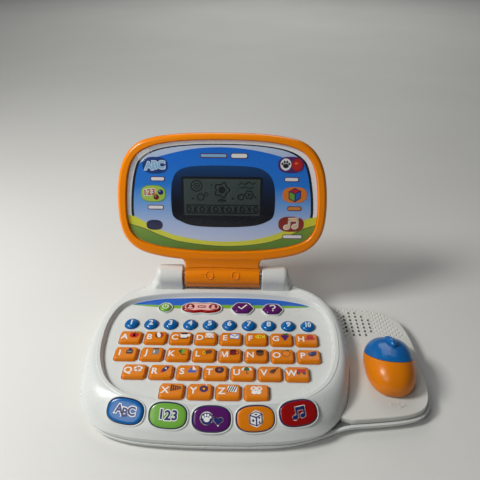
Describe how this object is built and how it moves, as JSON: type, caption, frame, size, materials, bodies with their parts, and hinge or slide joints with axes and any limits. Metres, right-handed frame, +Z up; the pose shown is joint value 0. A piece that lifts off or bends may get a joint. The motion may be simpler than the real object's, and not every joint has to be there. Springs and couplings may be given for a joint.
{
  "type": "toy laptop computer",
  "caption": "Toy laptop with a sunk keyboard of push keys, a carry handle, a mouse pad wing with a sliding mouse, and a hinged display lid that folds down over the keys.",
  "frame": {"origin": "on the flat underside, on the left-right centre line of the keys, 10 mm in front of the first letter row", "axes": "+Z up, +X to the user's right towards the mouse pad, +Y away from the user towards the carry handle; modelled with the lid open"},
  "size_m": [0.3176, 0.2393, 0.187],
  "materials": {
    "shell_white": "satin moulded ABS",
    "shell_grey": "fine satin texture",
    "lid_orange": "glossy moulded ABS",
    "key_orange": "semi-gloss keys",
    "key_blue": "glossy",
    "button_green": "glossy",
    "button_red": "glossy",
    "button_purple": "glossy",
    "rubber_mat": "soft silicone",
    "circuit_board": "solder mask",
    "speaker_black": "paper cone and frame",
    "lens_clear": "clear lens with a print behind it",
    "lcd_grey": "reflective segment display",
    "steel": "plain rod"
  },
  "bodies": {
    "base": {"base_upper_shell": "shell_white", "base_lower_shell": "shell_grey", "mouse_pad_deck": "shell_grey", "battery_door": "shell_grey", "key_mat": "rubber_mat", "main_circuit_board": "circuit_board", "speaker": "speaker_black", "hinge_pin": "steel"},
    "display_lid": {"lid_front_frame": "lid_orange", "lid_rear_cover": "lid_orange", "screen_lens": "lens_clear", "lcd_module": "lcd_grey"},
    "computer_mouse": {"mouse_shell": "lid_orange"},
    "mouse_click_button": {"mouse_button": "key_blue"},
    "key_letter_a": {"key_letter_a": "key_orange"},
    "key_letter_b": {"key_letter_b": "key_orange"},
    "key_letter_c": {"key_letter_c": "key_orange"},
    "key_letter_d": {"key_letter_d": "key_orange"},
    "key_letter_e": {"key_letter_e": "key_orange"},
    "key_letter_f": {"key_letter_f": "key_orange"},
    "key_letter_g": {"key_letter_g": "key_orange"},
    "key_letter_h": {"key_letter_h": "key_orange"},
    "key_letter_i": {"key_letter_i": "key_orange"},
    "key_letter_j": {"key_letter_j": "key_orange"},
    "key_letter_k": {"key_letter_k": "key_orange"},
    "key_letter_l": {"key_letter_l": "key_orange"},
    "key_letter_m": {"key_letter_m": "key_orange"},
    "key_letter_n": {"key_letter_n": "key_orange"},
    "key_letter_o": {"key_letter_o": "key_orange"},
    "key_letter_p": {"key_letter_p": "key_orange"},
    "key_letter_q": {"key_letter_q": "key_orange"},
    "key_letter_r": {"key_letter_r": "key_orange"},
    "key_letter_s": {"key_letter_s": "key_orange"},
    "key_letter_t": {"key_letter_t": "key_orange"},
    "key_letter_u": {"key_letter_u": "key_orange"},
    "key_letter_v": {"key_letter_v": "key_orange"},
    "key_letter_w": {"key_letter_w": "key_orange"},
    "key_letter_x": {"key_letter_x": "key_orange"},
    "key_letter_y": {"key_letter_y": "key_orange"},
    "key_letter_z": {"key_letter_z": "key_orange"},
    "key_picture": {"key_picture": "key_orange"},
    "key_number_1": {"key_number_1": "key_blue"},
    "key_number_2": {"key_number_2": "key_blue"},
    "key_number_3": {"key_number_3": "key_blue"},
    "key_number_4": {"key_number_4": "key_blue"},
    "key_number_5": {"key_number_5": "key_blue"},
    "key_number_6": {"key_number_6": "key_blue"},
    "key_number_7": {"key_number_7": "key_blue"},
    "key_number_8": {"key_number_8": "key_blue"},
    "key_number_9": {"key_number_9": "key_blue"},
    "key_number_10": {"key_number_10": "key_blue"},
    "power_button": {"power_button": "button_green"},
    "player_button": {"player_button": "button_red"},
    "answer_button": {"answer_button": "button_purple"},
    "help_button": {"help_button": "button_purple"},
    "letters_mode_button": {"letters_mode_button": "key_blue"},
    "numbers_mode_button": {"numbers_mode_button": "button_green"},
    "animals_mode_button": {"animals_mode_button": "button_purple"},
    "games_mode_button": {"games_mode_button": "key_orange"},
    "music_mode_button": {"music_mode_button": "button_red"}
  },
  "joints": [
    {"name": "display_lid_hinge", "type": "hinge", "parent": "base", "child": "display_lid", "pos_m": [0, 0.0905, 0.0405], "axis": [1, 0, 0], "range_deg": [-5, 107]},
    {"name": "computer_mouse_slide", "type": "slide", "parent": "base", "child": "computer_mouse", "axis": [1, 0, 0], "range_m": [-0.01, 0.008]},
    {"name": "computer_mouse_click", "type": "hinge", "parent": "computer_mouse", "child": "mouse_click_button", "pos_m": [0.15914, -0.00701, 0.021], "axis": [0.9974, -0.0715, 0], "range_deg": [-1.5, 0], "stiffness_Nm_per_rad": 0.5, "springref_deg": 1.72},
    {"name": "power_button_press", "type": "slide", "parent": "base", "child": "power_button", "axis": [0, 0, 1], "range_m": [-0.0015, 0], "stiffness_N_per_m": 60, "springref_m": 0.003},
    {"name": "player_button_press", "type": "slide", "parent": "base", "child": "player_button", "axis": [0, 0, 1], "range_m": [-0.0015, 0], "stiffness_N_per_m": 60, "springref_m": 0.003},
    {"name": "answer_button_press", "type": "slide", "parent": "base", "child": "answer_button", "axis": [0, 0, 1], "range_m": [-0.0015, 0], "stiffness_N_per_m": 60, "springref_m": 0.003},
    {"name": "help_button_press", "type": "slide", "parent": "base", "child": "help_button", "axis": [0, 0, 1], "range_m": [-0.0015, 0], "stiffness_N_per_m": 60, "springref_m": 0.003},
    {"name": "letters_mode_button_press", "type": "slide", "parent": "base", "child": "letters_mode_button", "axis": [-0.1175, -0.6043, 0.788], "range_m": [-0.0015, 0], "stiffness_N_per_m": 60, "springref_m": 0.003},
    {"name": "numbers_mode_button_press", "type": "slide", "parent": "base", "child": "numbers_mode_button", "axis": [-0.0429, -0.6142, 0.788], "range_m": [-0.0015, 0], "stiffness_N_per_m": 60, "springref_m": 0.003},
    {"name": "animals_mode_button_press", "type": "slide", "parent": "base", "child": "animals_mode_button", "axis": [0, -0.6157, 0.788], "range_m": [-0.0015, 0], "stiffness_N_per_m": 60, "springref_m": 0.003},
    {"name": "games_mode_button_press", "type": "slide", "parent": "base", "child": "games_mode_button", "axis": [0.0429, -0.6142, 0.788], "range_m": [-0.0015, 0], "stiffness_N_per_m": 60, "springref_m": 0.003},
    {"name": "music_mode_button_press", "type": "slide", "parent": "base", "child": "music_mode_button", "axis": [0.1175, -0.6043, 0.788], "range_m": [-0.0015, 0], "stiffness_N_per_m": 60, "springref_m": 0.003},
    {"name": "key_number_1_press", "type": "slide", "parent": "base", "child": "key_number_1", "axis": [0, 0, 1], "range_m": [-0.0015, 0], "stiffness_N_per_m": 60, "springref_m": 0.003},
    {"name": "key_number_2_press", "type": "slide", "parent": "base", "child": "key_number_2", "axis": [0, 0, 1], "range_m": [-0.0015, 0], "stiffness_N_per_m": 60, "springref_m": 0.003},
    {"name": "key_number_3_press", "type": "slide", "parent": "base", "child": "key_number_3", "axis": [0, 0, 1], "range_m": [-0.0015, 0], "stiffness_N_per_m": 60, "springref_m": 0.003},
    {"name": "key_number_4_press", "type": "slide", "parent": "base", "child": "key_number_4", "axis": [0, 0, 1], "range_m": [-0.0015, 0], "stiffness_N_per_m": 60, "springref_m": 0.003},
    {"name": "key_number_5_press", "type": "slide", "parent": "base", "child": "key_number_5", "axis": [0, 0, 1], "range_m": [-0.0015, 0], "stiffness_N_per_m": 60, "springref_m": 0.003},
    {"name": "key_number_6_press", "type": "slide", "parent": "base", "child": "key_number_6", "axis": [0, 0, 1], "range_m": [-0.0015, 0], "stiffness_N_per_m": 60, "springref_m": 0.003},
    {"name": "key_number_7_press", "type": "slide", "parent": "base", "child": "key_number_7", "axis": [0, 0, 1], "range_m": [-0.0015, 0], "stiffness_N_per_m": 60, "springref_m": 0.003},
    {"name": "key_number_8_press", "type": "slide", "parent": "base", "child": "key_number_8", "axis": [0, 0, 1], "range_m": [-0.0015, 0], "stiffness_N_per_m": 60, "springref_m": 0.003},
    {"name": "key_number_9_press", "type": "slide", "parent": "base", "child": "key_number_9", "axis": [0, 0, 1], "range_m": [-0.0015, 0], "stiffness_N_per_m": 60, "springref_m": 0.003},
    {"name": "key_number_10_press", "type": "slide", "parent": "base", "child": "key_number_10", "axis": [0, 0, 1], "range_m": [-0.0015, 0], "stiffness_N_per_m": 60, "springref_m": 0.003},
    {"name": "key_letter_a_press", "type": "slide", "parent": "base", "child": "key_letter_a", "axis": [0, 0, 1], "range_m": [-0.0015, 0], "stiffness_N_per_m": 60, "springref_m": 0.003},
    {"name": "key_letter_b_press", "type": "slide", "parent": "base", "child": "key_letter_b", "axis": [0, 0, 1], "range_m": [-0.0015, 0], "stiffness_N_per_m": 60, "springref_m": 0.003},
    {"name": "key_letter_c_press", "type": "slide", "parent": "base", "child": "key_letter_c", "axis": [0, 0, 1], "range_m": [-0.0015, 0], "stiffness_N_per_m": 60, "springref_m": 0.003},
    {"name": "key_letter_d_press", "type": "slide", "parent": "base", "child": "key_letter_d", "axis": [0, 0, 1], "range_m": [-0.0015, 0], "stiffness_N_per_m": 60, "springref_m": 0.003},
    {"name": "key_letter_e_press", "type": "slide", "parent": "base", "child": "key_letter_e", "axis": [0, 0, 1], "range_m": [-0.0015, 0], "stiffness_N_per_m": 60, "springref_m": 0.003},
    {"name": "key_letter_f_press", "type": "slide", "parent": "base", "child": "key_letter_f", "axis": [0, 0, 1], "range_m": [-0.0015, 0], "stiffness_N_per_m": 60, "springref_m": 0.003},
    {"name": "key_letter_g_press", "type": "slide", "parent": "base", "child": "key_letter_g", "axis": [0, 0, 1], "range_m": [-0.0015, 0], "stiffness_N_per_m": 60, "springref_m": 0.003},
    {"name": "key_letter_h_press", "type": "slide", "parent": "base", "child": "key_letter_h", "axis": [0, 0, 1], "range_m": [-0.0015, 0], "stiffness_N_per_m": 60, "springref_m": 0.003},
    {"name": "key_letter_i_press", "type": "slide", "parent": "base", "child": "key_letter_i", "axis": [0, 0, 1], "range_m": [-0.0015, 0], "stiffness_N_per_m": 60, "springref_m": 0.003},
    {"name": "key_letter_j_press", "type": "slide", "parent": "base", "child": "key_letter_j", "axis": [0, 0, 1], "range_m": [-0.0015, 0], "stiffness_N_per_m": 60, "springref_m": 0.003},
    {"name": "key_letter_k_press", "type": "slide", "parent": "base", "child": "key_letter_k", "axis": [0, 0, 1], "range_m": [-0.0015, 0], "stiffness_N_per_m": 60, "springref_m": 0.003},
    {"name": "key_letter_l_press", "type": "slide", "parent": "base", "child": "key_letter_l", "axis": [0, 0, 1], "range_m": [-0.0015, 0], "stiffness_N_per_m": 60, "springref_m": 0.003},
    {"name": "key_letter_m_press", "type": "slide", "parent": "base", "child": "key_letter_m", "axis": [0, 0, 1], "range_m": [-0.0015, 0], "stiffness_N_per_m": 60, "springref_m": 0.003},
    {"name": "key_letter_n_press", "type": "slide", "parent": "base", "child": "key_letter_n", "axis": [0, 0, 1], "range_m": [-0.0015, 0], "stiffness_N_per_m": 60, "springref_m": 0.003},
    {"name": "key_letter_o_press", "type": "slide", "parent": "base", "child": "key_letter_o", "axis": [0, 0, 1], "range_m": [-0.0015, 0], "stiffness_N_per_m": 60, "springref_m": 0.003},
    {"name": "key_letter_p_press", "type": "slide", "parent": "base", "child": "key_letter_p", "axis": [0, 0, 1], "range_m": [-0.0015, 0], "stiffness_N_per_m": 60, "springref_m": 0.003},
    {"name": "key_letter_q_press", "type": "slide", "parent": "base", "child": "key_letter_q", "axis": [0, 0, 1], "range_m": [-0.0015, 0], "stiffness_N_per_m": 60, "springref_m": 0.003},
    {"name": "key_letter_r_press", "type": "slide", "parent": "base", "child": "key_letter_r", "axis": [0, 0, 1], "range_m": [-0.0015, 0], "stiffness_N_per_m": 60, "springref_m": 0.003},
    {"name": "key_letter_s_press", "type": "slide", "parent": "base", "child": "key_letter_s", "axis": [0, 0, 1], "range_m": [-0.0015, 0], "stiffness_N_per_m": 60, "springref_m": 0.003},
    {"name": "key_letter_t_press", "type": "slide", "parent": "base", "child": "key_letter_t", "axis": [0, 0, 1], "range_m": [-0.0015, 0], "stiffness_N_per_m": 60, "springref_m": 0.003},
    {"name": "key_letter_u_press", "type": "slide", "parent": "base", "child": "key_letter_u", "axis": [0, 0, 1], "range_m": [-0.0015, 0], "stiffness_N_per_m": 60, "springref_m": 0.003},
    {"name": "key_letter_v_press", "type": "slide", "parent": "base", "child": "key_letter_v", "axis": [0, 0, 1], "range_m": [-0.0015, 0], "stiffness_N_per_m": 60, "springref_m": 0.003},
    {"name": "key_letter_w_press", "type": "slide", "parent": "base", "child": "key_letter_w", "axis": [0, 0, 1], "range_m": [-0.0015, 0], "stiffness_N_per_m": 60, "springref_m": 0.003},
    {"name": "key_letter_x_press", "type": "slide", "parent": "base", "child": "key_letter_x", "axis": [0, 0, 1], "range_m": [-0.0015, 0], "stiffness_N_per_m": 60, "springref_m": 0.003},
    {"name": "key_letter_y_press", "type": "slide", "parent": "base", "child": "key_letter_y", "axis": [0, 0, 1], "range_m": [-0.0015, 0], "stiffness_N_per_m": 60, "springref_m": 0.003},
    {"name": "key_letter_z_press", "type": "slide", "parent": "base", "child": "key_letter_z", "axis": [0, 0, 1], "range_m": [-0.0015, 0], "stiffness_N_per_m": 60, "springref_m": 0.003},
    {"name": "key_picture_press", "type": "slide", "parent": "base", "child": "key_picture", "axis": [0, 0, 1], "range_m": [-0.0015, 0], "stiffness_N_per_m": 60, "springref_m": 0.003}
  ]
}
